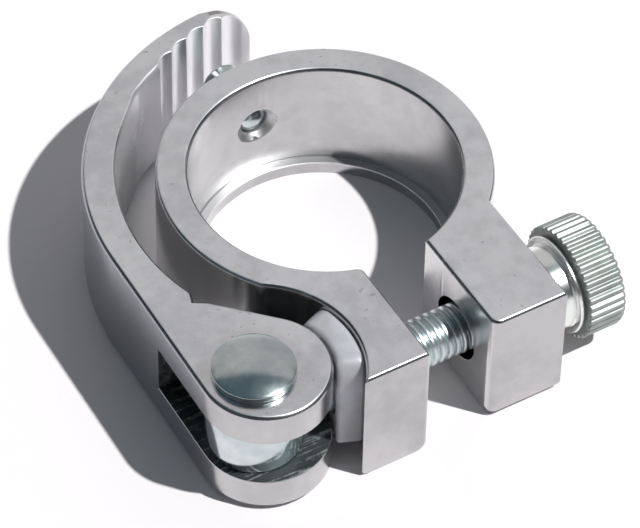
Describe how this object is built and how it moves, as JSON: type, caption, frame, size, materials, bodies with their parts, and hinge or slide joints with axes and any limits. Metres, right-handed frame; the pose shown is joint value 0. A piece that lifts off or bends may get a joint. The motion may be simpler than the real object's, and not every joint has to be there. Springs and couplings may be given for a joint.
{
  "type": "seatpost clamp",
  "caption": "Quick-release seatpost clamp: a slit ring with two lugs, drawn together by a curved cam lever on a cross bolt and set by a knurled thumb nut.",
  "frame": {"origin": "where the axis of the bore crosses the level of the clamp bolt, which is also mid-height of the collar", "axes": "+Z along the bore axis towards the mouth that the seat tube enters, +X along the bolt from the lever to the thumb nut, -Y towards the lugs"},
  "size_m": [0.0515, 0.0602, 0.0179],
  "materials": {
    "aluminium": "fine satin, bored faces brighter",
    "plated_steel": "bright zinc plating with a faint blue-green tint",
    "nylon": "milky, slightly translucent"
  },
  "bodies": {
    "collar": {"collar": "aluminium", "cam_washer": "nylon", "stop_pin": "plated_steel"},
    "nut": {"thumb_nut": "plated_steel"},
    "bolt": {"bolt": "plated_steel", "pivot_pin": "plated_steel"},
    "lever": {"lever": "aluminium"}
  },
  "joints": [
    {"name": "nut_turn", "type": "hinge", "parent": "collar", "child": "nut", "pos_m": [0.0185, -0.02245, 0], "axis": [1, 0, 0], "range_deg": [0, 1800]},
    {"name": "bolt_travel", "type": "slide", "parent": "collar", "child": "bolt", "axis": [-1, 0, 0], "range_m": [0, 0.005]},
    {"name": "lever_swing", "type": "hinge", "parent": "bolt", "child": "lever", "pos_m": [-0.02227, -0.02245, 0], "axis": [0, 0, 1], "range_deg": [0, 180]}
  ],
  "couplings": [
    {"joint": "nut_turn", "follows": "bolt_travel", "rad_per_m": 6283.2}
  ]
}
